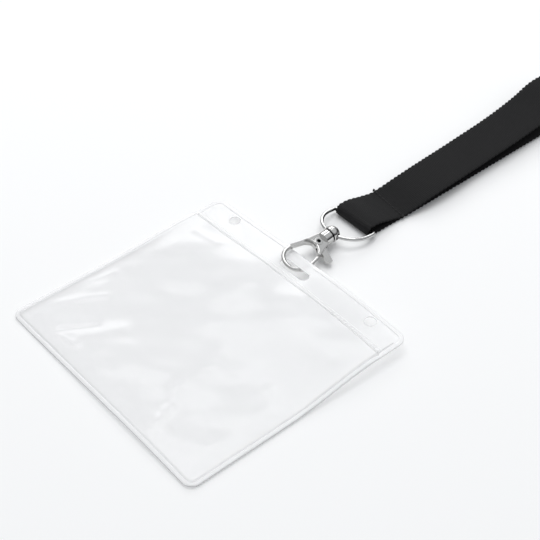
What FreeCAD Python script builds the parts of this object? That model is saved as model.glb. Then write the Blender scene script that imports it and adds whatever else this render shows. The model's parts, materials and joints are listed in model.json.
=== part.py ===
import FreeCAD, Part
import math
import os

# Lanyard badge holder, laid flat: a clear wallet, a trigger hook through its slot,
# a swivel eye, a D-ring and a webbing neck loop put away as a tied hank.
# Millimetres, +Z up. The origin is the middle of the wallet's underside: +X runs
# along the header, +Y towards the slot and the strap.

V = FreeCAD.Vector

# ---- wallet ----------------------------------------------------------------
WALLET_W = 108.0          # along the header
WALLET_H = 100.0          # from the closed end to the header's edge
WALLET_CORNER_R = 4.0
FILM_T = 0.15             # one layer of clear vinyl
POCKET_GAP = 0.6          # room for a card between the two layers
RIM_W = 2.0               # welded rim on three sides
RIM_RISE = 0.3            # rim's height above the front panel
MOUTH_Y = 36.4            # free edge of the front panel
HEADER_Y = 37.0           # start of the fused header
LIFT = 4.65               # height to which the hook holds the header
LIFT_START_Y = 5.0
LIFT_END_Y = 33.0
SLOT_Y = 42.7
SLOT_L = 14.6
SLOT_W = 4.4
HOLE_X = 39.0
HOLE_Y = 45.3
HOLE_R = 2.25

# ---- trigger hook, in its own plane: u across, v along, w through ----------
HOOK_ORIGIN = V(-4.3, 47.7, 5.0)   # centre of the claw's round
HOOK_YAW = 6.5
HOOK_PITCH = -1.5
HOOK_ROLL = 18.0
CLAW_R = 5.4              # centreline radius of the claw
ARM_ROOT_V = 3.0          # where the claw's right arm starts to lean in
ARM_TOP = V(4.4, 9.4, 0)  # where it enters the body
WIRE_R = 0.8
PIVOT_V = 12.0            # gate pivot
BODY_T = 3.4
BODY_TOP_V = 15.4
BODY_TOP_HALF_W = 2.9
BODY_LEFT = (-4.0, 8.3)   # lower left corner of the body's face
BODY_RIGHT = (5.1, 7.6)   # lower right corner
SCOOP_TOP = (-0.1, 10.2)  # top of the round scoop between them
SCOOP_END = (3.7, 7.4)
RIM_ROUND = 0.4
GATE_T = 1.2
GATE_SLOT_T = 1.4
GATE_SLOT_V = (8.9, 14.5)
SLOT_MOUTH_V = (7.0, 10.0)   # the slot runs out further down on the gate's side
GATE_BORE_R = 1.05
HUB_R = 2.2
GATE_NECK = V(-1.2, 11.0, 0)
GATE_KNEE = V(-3.5, 8.4, 0)
GATE_NOSE = V(-5.6, 1.2, 0)
LEVER_OUTLINE = [V(1.2, 10.6, 0), V(4.4, 9.7, 0), V(7.9, 8.1, 0), V(9.4, 8.9, 0),
                 V(9.5, 10.7, 0), V(4.2, 12.7, 0), V(1.0, 13.2, 0)]
GATE_TIP_R = 11.45        # gate's tip, measured from its pivot
CLAW_END_R = 11.7         # claw's free end, measured from the gate pivot
RIVET_R = 1.0
RIVET_BORE_R = 0.75
RIVET_FLANGE_R = 1.65
RIVET_FLANGE_T = 0.3
RIVET_RIM_ROUND = 0.18
SPRING_R = 1.45
SPRING_WIRE_R = 0.14
SPRING_RECESS = 0.5       # depth of the recess in the gate's hub
COLLAR_R = 3.1
COLLAR_CHAMFER = 0.35
COLLAR_OVERLAP = 0.6      # the collar reaches this far into the body
COLLAR_TOP_V = 18.4

# ---- swivel eye ------------------------------------------------------------
POST_R = 1.2
POST_BORE_R = 1.25
POST_HEAD_R = 1.85
POST_HEAD_V = (16.0, 16.8)
POST_CAVITY_R = 2.0
POST_CAVITY_V = (15.7, 16.9)
EYE_BASE_V = 18.9
EYE_TOP_V = 23.5
EYE_R = 3.3
EYE_HOLE_V = 20.7
EYE_HOLE_R = 1.4
EYE_EDGE = 0.3            # small chamfer round the base
EYE_ROLL = 0.0

# ---- D-ring ----------------------------------------------------------------
RING_HALF_W = 10.8        # centreline, so 20 mm inside
RING_SIDE_L = 4.0         # from the bar to the start of the bow
RING_CORNER_R = 1.6
RING_YAW = 2.5
RING_BAR_Z = 2.1
RING_SEAT_V = 20.4        # where the bow lies in the eye
RING_SEAT_OFFSET = 1.0    # the eye sits a little beside the bow's middle

# ---- webbing ---------------------------------------------------------------
STRAP_W = 19.0
STRAP_T = 0.8
FOLD_INNER_R = 1.5
STITCH_DY = 16.0          # seam, measured from the bar
CREST_DY = 64.0
CREST_Z = 4.6
STRAP_END_DY = 140.0
STRAP_END_Z = 3.4
HANK_L = 104.0
HANK_LAYERS = 6
HANK_LAYER_PITCH = 1.15
HANK_END_R = 2.5
TIE_W = 8.0
TIE_T = 0.7
THREAD_R = 0.2
THREAD_COUNT = 9
THREAD_DY = 1.0           # stitches behind the seam line
THREAD_LIFT = 0.06        # clearance over the webbing


# ---- small helpers ---------------------------------------------------------
def save(shape, name):
    """Write one sub-part to its own STEP file."""
    shape.exportStep("parts/" + name + ".step")
    print(name, "solids", len(shape.Solids), "volume %.3f" % shape.Volume, shape.isValid())


def line(a, b):
    return Part.makeLine(a, b)


def arc(a, through, b):
    return Part.Arc(a, through, b).toShape()


def face(edges):
    return Part.Face(Part.Wire(edges))


def cylinder(radius, start, end):
    axis = end - start
    return Part.makeCylinder(radius, axis.Length, start, axis)


def round_sweep(edges, radius):
    """Solid of a round wire along a path of lines and tangent arcs."""
    path = Part.Wire(edges)
    start = edges[0].valueAt(edges[0].FirstParameter)
    tangent = edges[0].tangentAt(edges[0].FirstParameter)
    section = Part.Wire([Part.makeCircle(radius, start, tangent)])
    return path.makePipeShell([section], True, False)


def hook_axes(roll_deg=HOOK_ROLL):
    """Unit vectors across, along and through the hook's plane, at a roll about its length."""
    yaw, pitch, roll = (math.radians(a) for a in (HOOK_YAW, HOOK_PITCH, roll_deg))
    along = V(-math.sin(yaw) * math.cos(pitch), math.cos(yaw) * math.cos(pitch), math.sin(pitch))
    level = V(math.cos(yaw), math.sin(yaw), 0)
    up = level.cross(along)
    across = level * math.cos(roll) - up * math.sin(roll)
    return across, along, across.cross(along)


def placed(shape, origin, x_axis, y_axis, z_axis):
    """Copy of a shape, moved from its own axes to the given ones."""
    matrix = FreeCAD.Matrix(
        x_axis.x, y_axis.x, z_axis.x, origin.x,
        x_axis.y, y_axis.y, z_axis.y, origin.y,
        x_axis.z, y_axis.z, z_axis.z, origin.z,
        0, 0, 0, 1)
    moved = shape.copy()
    moved.Placement = FreeCAD.Placement(matrix)
    return moved


def on_hook(shape):
    return placed(shape, HOOK_ORIGIN, *hook_axes())


def on_swivel(shape):
    """The eye has turned on its post, so that its cross hole lies level."""
    return placed(shape, HOOK_ORIGIN, *hook_axes(EYE_ROLL))


def hook_point(u, v, w=0.0):
    across, along, normal = hook_axes()
    return HOOK_ORIGIN + across * u + along * v + normal * w


# ---- wallet ----------------------------------------------------------------
def lifted_curve(y_start, y_end, height, x):
    """Edges of the film's side view: level, then two tangent arcs up to the header."""
    run = (LIFT_END_Y - LIFT_START_Y) / 2
    radius = (4 * run * run + LIFT * LIFT) / (4 * LIFT)
    half_turn = math.atan(LIFT / (2 * run))
    low = V(x, LIFT_START_Y, height)
    middle = V(x, LIFT_START_Y + run, height + LIFT / 2)
    high = V(x, LIFT_END_Y, height + LIFT)
    low_mid = low + V(0, radius * math.sin(half_turn), radius * (1 - math.cos(half_turn)))
    high_mid = high - V(0, radius * math.sin(half_turn), radius * (1 - math.cos(half_turn)))
    edges = []
    if y_start < LIFT_START_Y:
        edges.append(line(V(x, y_start, height), low))
        edges.append(arc(low, low_mid, middle))
        edges.append(arc(middle, high_mid, high))
        edges.append(line(high, V(x, y_end, height + LIFT)))
    else:
        edges.append(line(V(x, y_start, height + LIFT), V(x, y_end, height + LIFT)))
    return edges


def film(y_start, y_end, bottom, top, x_start, x_end):
    """A layer of film between two heights, following the lift of the header."""
    lower = lifted_curve(y_start, y_end, bottom, x_start)
    upper = lifted_curve(y_start, y_end, top, x_start)
    first_low = lower[0].Vertexes[0].Point
    first_high = upper[0].Vertexes[0].Point
    last_low = lower[-1].Vertexes[-1].Point
    last_high = upper[-1].Vertexes[-1].Point
    outline = lower + [line(last_low, last_high)] + upper[::-1] + [line(first_high, first_low)]
    side = Part.Face(Part.Wire(Part.__sortEdges__(outline)))
    return side.extrude(V(x_end - x_start, 0, 0))


def wallet_outline():
    """Tall prism with the wallet's rounded corners, to trim the film to shape."""
    block = Part.makeBox(WALLET_W, WALLET_H, 20, V(-WALLET_W / 2, -WALLET_H / 2, -5))
    corners = [e for e in block.Edges if abs(e.tangentAt(e.FirstParameter).z) > 0.99]
    return block.makeFillet(WALLET_CORNER_R, corners)


def punched(shape):
    """Cut the strap slot and the two round holes through the header."""
    cuts = [Part.makeBox(SLOT_L - SLOT_W, SLOT_W, 12, V(-(SLOT_L - SLOT_W) / 2, SLOT_Y - SLOT_W / 2, 0))]
    for side in (-1, 1):
        end = V(side * (SLOT_L - SLOT_W) / 2, SLOT_Y, 0)
        cuts.append(Part.makeCylinder(SLOT_W / 2, 12, end))
        cuts.append(Part.makeCylinder(HOLE_R, 12, V(side * HOLE_X, HOLE_Y, 0)))
    return shape.cut(cuts)


def back_sheet():
    half_w, half_h = WALLET_W / 2, WALLET_H / 2
    sheet = film(-half_h, half_h, 0, FILM_T, -half_w, half_w)
    return punched(sheet.common(wallet_outline()))


def front_panel():
    """Front layer of the pocket, with its welded rim on the sides and the closed end."""
    half_w, half_h = WALLET_W / 2, WALLET_H / 2
    under = FILM_T + POCKET_GAP
    top = under + FILM_T
    panel = film(-half_h, MOUTH_Y, under, top, -half_w, half_w)
    left = film(-half_h, MOUTH_Y, FILM_T, top + RIM_RISE, -half_w, -half_w + RIM_W)
    right = film(-half_h, MOUTH_Y, FILM_T, top + RIM_RISE, half_w - RIM_W, half_w)
    end = Part.makeBox(WALLET_W, RIM_W, top + RIM_RISE - FILM_T, V(-half_w, -half_h, FILM_T))
    return panel.fuse([left, right, end]).common(wallet_outline()).removeSplitter()


def header_strip():
    half_w, half_h = WALLET_W / 2, WALLET_H / 2
    strip = film(HEADER_Y, half_h, FILM_T, 2 * FILM_T, -half_w, half_w)
    return punched(strip.common(wallet_outline()))


# ---- trigger hook ----------------------------------------------------------
def claw():
    """Round wire from the free end, round the claw and up the right arm."""
    free_v = PIVOT_V - math.sqrt(CLAW_END_R ** 2 - CLAW_R ** 2)
    start = V(-CLAW_R, free_v + 0.4, 0)
    edges = [line(start, V(-CLAW_R, 0, 0)),
             arc(V(-CLAW_R, 0, 0), V(0, -CLAW_R, 0), V(CLAW_R, 0, 0)),
             line(V(CLAW_R, 0, 0), V(CLAW_R, ARM_ROOT_V, 0))]
    arm_root = V(CLAW_R, ARM_ROOT_V, 0)
    arm = cylinder(WIRE_R, arm_root, ARM_TOP)
    knuckle = Part.makeSphere(WIRE_R, arm_root)
    reach = Part.makeCylinder(CLAW_END_R, 8, V(0, PIVOT_V, -4))
    tip = Part.makeBox(3, 8, 4, V(-CLAW_R - 1.5, 0, -2)).common(reach)
    return round_sweep(edges, WIRE_R).cut(tip).fuse([knuckle, arm])


def body_plate():
    """Tapering body with a scooped lower edge and softened rims."""
    half = BODY_T / 2
    top_left, top_right = V(-BODY_TOP_HALF_W, BODY_TOP_V, -half), V(BODY_TOP_HALF_W, BODY_TOP_V, -half)
    left, scoop, root, right = (V(u, v, -half) for u, v in (BODY_LEFT, SCOOP_TOP, SCOOP_END, BODY_RIGHT))
    outline = [line(top_left, left), arc(left, scoop, root), line(root, right),
               line(right, top_right), line(top_right, top_left)]
    plate = face(outline).extrude(V(0, 0, BODY_T))
    rims = [e for e in plate.Edges
            if abs(abs(e.CenterOfMass.z) - half) < 1e-6 and e.CenterOfMass.y < BODY_TOP_V - 0.1]
    return plate.makeFillet(RIM_ROUND, rims)


def hook_body():
    collar = cylinder(COLLAR_R, V(0, BODY_TOP_V - COLLAR_OVERLAP, 0), V(0, COLLAR_TOP_V, 0))
    top_rim = [e for e in collar.Edges if abs(e.CenterOfMass.y - COLLAR_TOP_V) < 1e-6
               and e.Length > COLLAR_R]
    collar = collar.makeChamfer(COLLAR_CHAMFER, top_rim)
    solid = claw().fuse([body_plate(), collar])
    half_slot = GATE_SLOT_T / 2
    slot_low, slot_top = GATE_SLOT_V
    slot = Part.makeBox(14, slot_top - slot_low, GATE_SLOT_T, V(-7, slot_low, -half_slot))
    mouth_low, mouth_top = SLOT_MOUTH_V
    mouth = Part.makeBox(9.2, mouth_top - mouth_low, GATE_SLOT_T, V(-7, mouth_low, -half_slot))
    rivet_hole = cylinder(RIVET_R, V(0, PIVOT_V, -5), V(0, PIVOT_V, 5))
    cavity = cylinder(POST_CAVITY_R, V(0, POST_CAVITY_V[0], 0), V(0, POST_CAVITY_V[1], 0))
    bore = cylinder(POST_BORE_R, V(0, POST_CAVITY_V[0], 0), V(0, COLLAR_TOP_V + 1, 0))
    return solid.cut([slot, mouth, rivet_hole, cavity, bore]).removeSplitter()


def gate_rivet():
    """Tubular rivet through both cheeks of the body, with a rolled flange each side."""
    half = BODY_T / 2
    start = V(0, PIVOT_V, -half - RIVET_FLANGE_T)
    end = V(0, PIVOT_V, half + RIVET_FLANGE_T)
    shaft = cylinder(RIVET_R, start, end)
    near = cylinder(RIVET_FLANGE_R, start, V(0, PIVOT_V, -half))
    far = cylinder(RIVET_FLANGE_R, V(0, PIVOT_V, half), end)
    bore = cylinder(RIVET_BORE_R, start - V(0, 0, 1), end + V(0, 0, 1))
    rivet = shaft.fuse([near, far]).cut(bore).removeSplitter()
    rims = [e for e in rivet.Edges if abs(e.CenterOfMass.z) > half + RIVET_FLANGE_T - 1e-6
            and e.Length > 2 * math.pi * (RIVET_FLANGE_R - 0.1)]
    return rivet.makeFillet(RIVET_RIM_ROUND, rims)


def bar(a, b, half_width):
    """Flat link with square ends between two points, half_width each side."""
    along = (b - a).normalize()
    side = V(-along.y, along.x, 0) * half_width
    points = [a + side, b + side, b - side, a - side]
    return Part.Face(Part.makePolygon(points + points[:1])).extrude(V(0, 0, GATE_T))


def gate():
    """Trigger gate: hub, tongue down to the claw's end, and thumb lever."""
    half = GATE_T / 2
    bottom = V(0, 0, -half)
    hub = Part.makeCylinder(HUB_R, GATE_T, V(0, PIVOT_V, -half))
    neck = bar(GATE_NECK + bottom, GATE_KNEE + bottom, 1.0)
    knee = Part.makeCylinder(0.95, GATE_T, GATE_KNEE + bottom)
    nose = bar(GATE_KNEE + bottom, GATE_NOSE + bottom, WIRE_R)
    reach = Part.makeCylinder(GATE_TIP_R, GATE_T, V(0, PIVOT_V, -half))
    lever_points = [p + bottom for p in LEVER_OUTLINE]
    lever = Part.Face(Part.makePolygon(lever_points + lever_points[:1])).extrude(V(0, 0, GATE_T))
    bore = cylinder(GATE_BORE_R, V(0, PIVOT_V, -2), V(0, PIVOT_V, 2))
    pocket = cylinder(SPRING_R + 0.35, V(0, PIVOT_V, half - SPRING_RECESS), V(0, PIVOT_V, half + 1))
    whole = hub.fuse([neck, knee, nose.common(reach), lever])
    return whole.cut([bore, pocket]).removeSplitter()


def gate_spring():
    """One turn of spring wire round the rivet, in the gate hub's recess, with two legs."""
    height = (GATE_T - SPRING_RECESS) / 2
    centre = V(0, PIVOT_V, height)
    coil = Part.makeTorus(SPRING_R, SPRING_WIRE_R, centre)
    lower = cylinder(SPRING_WIRE_R, centre + V(-SPRING_R, 0, 0), centre + V(-SPRING_R - 0.2, 0.5, 0.1))
    upper = cylinder(SPRING_WIRE_R, centre + V(SPRING_R, 0, 0), centre + V(SPRING_R + 0.2, 0.5, 0.1))
    return coil.fuse([lower, upper])


def swivel_eye():
    """Domed eye with a cross hole, turning on a headed post in the hook's collar."""
    head = cylinder(POST_HEAD_R, V(0, POST_HEAD_V[0], 0), V(0, POST_HEAD_V[1], 0))
    post = cylinder(POST_R, V(0, POST_HEAD_V[0], 0), V(0, EYE_BASE_V + EYE_EDGE, 0))
    shoulder = V(EYE_R, EYE_TOP_V - EYE_R, 0)
    crown = V(0, EYE_TOP_V, 0)
    diagonal = V(EYE_R, EYE_R, 0) * math.sqrt(0.5) + V(0, EYE_TOP_V - EYE_R, 0)
    inner_edge, outer_edge = V(EYE_R - EYE_EDGE, EYE_BASE_V, 0), V(EYE_R, EYE_BASE_V + EYE_EDGE, 0)
    profile = [line(V(0, EYE_BASE_V, 0), inner_edge),
               line(inner_edge, outer_edge),
               line(outer_edge, shoulder),
               arc(shoulder, diagonal, crown),
               line(crown, V(0, EYE_BASE_V, 0))]
    dome = face(profile).revolve(V(0, 0, 0), V(0, 1, 0), 360)
    hole = cylinder(EYE_HOLE_R, V(-6, EYE_HOLE_V, 0), V(6, EYE_HOLE_V, 0))
    return dome.fuse([head, post]).cut(hole).removeSplitter()


# ---- D-ring ----------------------------------------------------------------
def ring_frame():
    """Middle of the ring's bar and the ring's axes, hung from its seat in the eye."""
    seat = hook_point(0, RING_SEAT_V)
    reach = RING_SIDE_L + math.sqrt(RING_HALF_W ** 2 - RING_SEAT_OFFSET ** 2)
    yaw = math.radians(RING_YAW)
    tilt = math.asin((seat.z - RING_BAR_Z) / reach)
    across = V(math.cos(yaw), math.sin(yaw), 0)
    along = V(-math.sin(yaw) * math.cos(tilt), math.cos(yaw) * math.cos(tilt), -math.sin(tilt))
    bar_middle = seat - across * RING_SEAT_OFFSET + along * reach
    return bar_middle, across, along, across.cross(along)


def d_ring():
    """Straight bar, two small corners, short sides and a round bow, in one plane."""
    corner_x = RING_HALF_W - RING_CORNER_R
    slant = RING_CORNER_R * (1 - math.sqrt(0.5))
    edges = [line(V(-corner_x, 0, 0), V(corner_x, 0, 0)),
             arc(V(corner_x, 0, 0), V(RING_HALF_W - slant, -slant, 0), V(RING_HALF_W, -RING_CORNER_R, 0)),
             line(V(RING_HALF_W, -RING_CORNER_R, 0), V(RING_HALF_W, -RING_SIDE_L, 0)),
             arc(V(RING_HALF_W, -RING_SIDE_L, 0), V(0, -RING_SIDE_L - RING_HALF_W, 0),
                 V(-RING_HALF_W, -RING_SIDE_L, 0)),
             line(V(-RING_HALF_W, -RING_SIDE_L, 0), V(-RING_HALF_W, -RING_CORNER_R, 0)),
             arc(V(-RING_HALF_W, -RING_CORNER_R, 0), V(-RING_HALF_W + slant, -slant, 0),
                 V(-corner_x, 0, 0))]
    return placed(round_sweep(edges, WIRE_R), *ring_frame())


# ---- webbing ---------------------------------------------------------------
def eased(a, b, offset, x):
    """Side view from a to b, moved up by offset: level at both ends, two arcs between."""
    run, rise = (b[0] - a[0]) / 2, b[1] - a[1]
    low, high = V(x, a[0], a[1] + offset), V(x, b[0], b[1] + offset)
    if abs(rise) < 1e-9:
        return [line(low, high)]
    middle = (low + high) * 0.5
    quarter = V(0, run / 2, rise / 8)
    return [arc(low, low + quarter, middle), arc(middle, high - quarter, high)]


def strap_slab(points, x_start):
    """Webbing one layer thick along a centreline of (y, z) points in the side view."""
    lower, upper = [], []
    for a, b in zip(points, points[1:]):
        lower += eased(a, b, -STRAP_T / 2, x_start)
        upper += eased(a, b, STRAP_T / 2, x_start)
    first, last = points[0], points[-1]
    half = V(0, 0, STRAP_T / 2)
    start, end = V(x_start, first[0], first[1]), V(x_start, last[0], last[1])
    outline = lower + upper + [line(start - half, start + half), line(end - half, end + half)]
    side = Part.Face(Part.Wire(Part.__sortEdges__(outline)))
    return side.extrude(V(STRAP_W, 0, 0))


def strap_heights():
    """Mid-layer heights: lower leg, seam and top of the fold."""
    lower = STRAP_T / 2
    seam = STRAP_T * 1.5 + 0.05
    fold_top = lower + 2 * FOLD_INNER_R + STRAP_T
    return lower, seam, fold_top


def strap_fold(bar_middle):
    """Webbing turned round the D-ring's bar, as far as the sewn seam."""
    lower, seam, fold_top = strap_heights()
    x_start = bar_middle.x - STRAP_W / 2
    centre = V(x_start, bar_middle.y, lower + STRAP_T / 2 + FOLD_INNER_R)
    axis = V(1, 0, 0)
    bend = Part.makeCylinder(FOLD_INNER_R + STRAP_T, STRAP_W, centre, axis)
    bend = bend.cut(Part.makeCylinder(FOLD_INNER_R, STRAP_W, centre, axis))
    behind = Part.makeBox(STRAP_W, 10, 10, V(x_start, bar_middle.y, -1))
    seam_y = bar_middle.y + STITCH_DY
    top = strap_slab([(bar_middle.y, fold_top), (seam_y, seam)], x_start)
    bottom = strap_slab([(bar_middle.y, lower), (seam_y, lower)], x_start)
    return bend.cut(behind).fuse([top, bottom]).removeSplitter()


def strap_leg(bar_middle, upper):
    """One layer of the neck loop, from the seam to the hank."""
    lower, seam, _ = strap_heights()
    y = bar_middle.y
    x_start = bar_middle.x - STRAP_W / 2
    if upper:
        points = [(y + STITCH_DY, seam), (y + CREST_DY, CREST_Z), (y + STRAP_END_DY, STRAP_END_Z)]
    else:
        points = [(y + STITCH_DY, lower), (y + STRAP_END_DY, lower)]
    return strap_slab(points, x_start)


def seam_thread(bar_middle):
    """Row of stitches that sews the two layers together."""
    seam = strap_heights()[1]
    y = bar_middle.y + STITCH_DY + THREAD_DY
    pitch = STRAP_W / THREAD_COUNT
    stitches = []
    for i in range(THREAD_COUNT):
        x = bar_middle.x + (i - (THREAD_COUNT - 1) / 2) * pitch
        z = seam + STRAP_T / 2 + THREAD_R + THREAD_LIFT
        stitches.append(cylinder(THREAD_R, V(x - 0.3 * pitch, y, z), V(x + 0.3 * pitch, y, z)))
    return Part.makeCompound(stitches)


def strap_hank(bar_middle):
    """Outer form of the put-away rest of the loop: flat folds lying on each other."""
    height = HANK_LAYERS * HANK_LAYER_PITCH
    start = V(bar_middle.x - STRAP_W / 2, bar_middle.y + STRAP_END_DY, 0)
    block = Part.makeBox(STRAP_W, HANK_L, height, start)
    ends = [e for e in block.Edges if abs(e.tangentAt(e.FirstParameter).x) > 0.99
            and e.CenterOfMass.y > start.y + 1]
    return block.makeFillet(HANK_END_R, ends)


def hank_tie(bar_middle):
    """Flat elastic band round the middle of the hank."""
    height = HANK_LAYERS * HANK_LAYER_PITCH
    start = V(bar_middle.x - STRAP_W / 2, bar_middle.y + STRAP_END_DY + HANK_L / 2 - TIE_W / 2, 0)
    around = Part.makeBox(STRAP_W + 2 * TIE_T, TIE_W, height + TIE_T, start - V(TIE_T, 0, 0))
    return around.cut(Part.makeBox(STRAP_W, TIE_W, height, start))


# ---- build -----------------------------------------------------------------
def main():
    os.makedirs("parts", exist_ok=True)
    bar_middle = ring_frame()[0]
    save(back_sheet(), "back_sheet")
    save(front_panel(), "front_panel")
    save(header_strip(), "header_strip")
    save(on_hook(hook_body()), "hook_body")
    save(on_hook(gate()), "gate")
    save(on_hook(gate_spring()), "gate_spring")
    save(on_hook(gate_rivet()), "gate_rivet")
    save(on_swivel(swivel_eye()), "swivel_eye")
    save(d_ring(), "d_ring")
    save(strap_fold(bar_middle), "strap_fold")
    save(strap_leg(bar_middle, upper=True), "strap_upper_leg")
    save(strap_leg(bar_middle, upper=False), "strap_lower_leg")
    save(seam_thread(bar_middle), "seam_thread")
    save(strap_hank(bar_middle), "strap_hank")
    save(hank_tie(bar_middle), "hank_tie")
    for label, point in (("claw in slot", hook_point(0, -CLAW_R)), ("gate pivot", hook_point(0, PIVOT_V)),
                         ("swivel", hook_point(0, COLLAR_TOP_V)), ("eye hole", hook_point(0, EYE_HOLE_V)),
                         ("bar", bar_middle)):
        print(label, "%.3f %.3f %.3f" % tuple(point))
    axes = {"along": hook_axes()[1], "normal": hook_axes()[2], "level": hook_axes(EYE_ROLL)[0],
            "ring across": ring_frame()[1]}
    for label, axis in axes.items():
        print(label, "%.6f %.6f %.6f" % tuple(axis))


main()
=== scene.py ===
# %% [markdown]
# # A lanyard badge holder, built around its own mechanical parts
# The trigger hook, its gate, rivet and swivel eye, and the D-ring are ready-made metal parts, so they
# stay as they come and only get a finish. The soft parts are made here: a clear vinyl wallet, one long
# loop of black webbing, its stitches and the band that ties the put-away end.

# %% Load the metal parts and keep their box
import json
import math
import bmesh
import bpy
import numpy as np
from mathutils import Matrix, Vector


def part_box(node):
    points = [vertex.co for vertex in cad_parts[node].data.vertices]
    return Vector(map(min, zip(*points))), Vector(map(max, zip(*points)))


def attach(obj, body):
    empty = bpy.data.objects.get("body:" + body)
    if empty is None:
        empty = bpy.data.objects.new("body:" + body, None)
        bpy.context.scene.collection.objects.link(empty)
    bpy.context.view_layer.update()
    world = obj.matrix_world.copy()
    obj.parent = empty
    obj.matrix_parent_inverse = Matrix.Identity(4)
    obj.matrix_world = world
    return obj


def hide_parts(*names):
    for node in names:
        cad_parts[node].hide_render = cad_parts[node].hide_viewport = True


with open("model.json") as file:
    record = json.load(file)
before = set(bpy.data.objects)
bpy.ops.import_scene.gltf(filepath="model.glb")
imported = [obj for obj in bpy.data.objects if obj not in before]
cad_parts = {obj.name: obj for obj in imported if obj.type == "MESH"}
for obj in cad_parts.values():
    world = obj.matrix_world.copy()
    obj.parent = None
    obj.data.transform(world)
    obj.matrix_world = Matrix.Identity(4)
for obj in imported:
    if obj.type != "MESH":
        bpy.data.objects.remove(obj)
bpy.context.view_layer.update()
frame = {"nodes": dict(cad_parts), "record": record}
MM = 0.001

# %% [markdown]
# ## The camera
# A long lens from well above the table keeps the flat wallet square. The camera turns round a target
# point on the table, at an azimuth and a height angle.

# %% Camera
AZIMUTH = math.radians(49.536)
ELEVATION = math.radians(43.008)
TARGET = Vector((-0.01009, 0.03906, 0.0))
DISTANCE = 0.5068

camera_data = bpy.data.cameras.new("camera")
camera_data.lens = 87.47
camera_data.sensor_width = 36.0
camera_data.clip_start = 0.01
camera = bpy.data.objects.new("camera", camera_data)
bpy.context.scene.collection.objects.link(camera)
back = Vector((math.sin(AZIMUTH) * math.cos(ELEVATION), -math.cos(AZIMUTH) * math.cos(ELEVATION),
               math.sin(ELEVATION)))
camera.location = TARGET + back * DISTANCE
camera.rotation_euler = (-back).to_track_quat("-Z", "Y").to_euler()
bpy.context.scene.camera = camera
print("camera at", [round(c, 3) for c in camera.location])

# %% [markdown]
# ## Helpers for numpy surfaces
# Every new piece is a grid of points: rows along one parameter, columns along the other. One function
# lists the grid's faces, closed in either direction where asked, and another makes the mesh and lays a
# UV map in millimetres on it, which the cloth patterns read.

# %% From a grid of points to a mesh
def grid_faces(rows, cols, close_rows, close_cols):
    """Four-cornered faces between neighbouring rows and columns, wrapping round where closed."""
    r = np.arange(rows if close_rows else rows - 1)
    c = np.arange(cols if close_cols else cols - 1)
    r0, c0 = np.meshgrid(r, c, indexing="ij")
    r1, c1 = (r0 + 1) % rows, (c0 + 1) % cols
    corners = np.stack([r0 * cols + c0, r0 * cols + c1, r1 * cols + c1, r1 * cols + c0], axis=-1)
    return corners.reshape(-1, 4).tolist()


def end_caps(rows, cols):
    """The two many-cornered faces that close a tube of this grid at its first and last row."""
    return [list(range(cols)), list(range(rows * cols - 1, (rows - 1) * cols - 1, -1))]


def mesh_object(name, points_mm, faces, uv_mm=None, smooth=True):
    """Object at the origin from points in millimetres, with a UV map in millimetres where one is given."""
    mesh = bpy.data.meshes.new(name)
    points = np.asarray(points_mm, float).reshape(-1, 3) * MM
    mesh.from_pydata(points.tolist(), [], faces)
    if uv_mm is not None:
        layer = mesh.uv_layers.new(name="cloth")
        corners = np.concatenate(faces)
        layer.data.foreach_set("uv", np.asarray(uv_mm, float).reshape(-1, 2)[corners].ravel())
    mesh.polygons.foreach_set("use_smooth", np.full(len(mesh.polygons), smooth))
    mesh.update()
    obj = bpy.data.objects.new(name, mesh)
    bpy.context.scene.collection.objects.link(obj)
    return obj


def unit(vectors):
    """Each vector divided by its own length."""
    return vectors / np.linalg.norm(vectors, axis=-1, keepdims=True)


def face_outwards(obj):
    """Join points that coincide and turn every face of a closed mesh outwards."""
    work = bmesh.new()
    work.from_mesh(obj.data)
    bmesh.ops.remove_doubles(work, verts=work.verts, dist=1e-7)
    bmesh.ops.recalc_face_normals(work, faces=work.faces)
    work.to_mesh(obj.data)
    work.free()
    obj.data.update()
    return obj


print("grid helpers ready")

# %% [markdown]
# Beads, raised lines and lips are thin tubes along a path. Edges that wander are drawn through a few
# stations by a smooth curve.

# %% Tubes and curves
def tube_object(name, path_mm, profile, closed_path=False, thickness=1.0):
    """A closed profile carried along a path: point = path + side * a + up * b * thickness.

    The side of each section is the level direction square to the path, and up is square to both.
    The thickness is one number, or one for each point of the path.
    """
    path = np.asarray(path_mm, float)
    if closed_path:
        tangent = unit(np.roll(path, -1, 0) - np.roll(path, 1, 0))
    else:
        tangent = unit(np.gradient(path, axis=0))
    side = unit(np.cross(tangent, [0.0, 0.0, 1.0]) + 1e-9)
    up = np.cross(side, tangent)
    a, b = np.asarray(profile, float).T
    tall = np.broadcast_to(thickness, len(path))[:, None, None]
    points = path[:, None] + side[:, None] * a[None, :, None] + up[:, None] * b[None, :, None] * tall
    rows, cols = points.shape[:2]
    caps = [] if closed_path else end_caps(rows, cols)
    return face_outwards(mesh_object(name, points, grid_faces(rows, cols, closed_path, True) + caps))


def curve_through(stations, where):
    """Smooth values at `where` through a few stations: cubic pieces with averaged slopes."""
    x, y = np.asarray(stations, float).T
    slope = np.gradient(y, x)
    i = np.clip(np.searchsorted(x, where, side="right") - 1, 0, len(x) - 2)
    span = x[i + 1] - x[i]
    t = np.clip((where - x[i]) / span, 0, 1)
    rise = y[i + 1] - y[i]
    return (y[i] + t * span * slope[i] + t * t * (3 * rise - span * (2 * slope[i] + slope[i + 1]))
            + t ** 3 * (span * (slope[i] + slope[i + 1]) - 2 * rise))


print("tube and curve helpers ready")

# %% [markdown]
# ## Where the metal parts lie
# Positions are read from the frame's boxes, in millimetres. The webbing turns round the bar of the
# D-ring, and the put-away hank starts where the loop's two legs end.

# %% Places from the frame
def box_mm(node):
    """Low and high corner of a node's box, in millimetres."""
    low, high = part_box(node)
    return np.array(low) / MM, np.array(high) / MM


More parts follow.
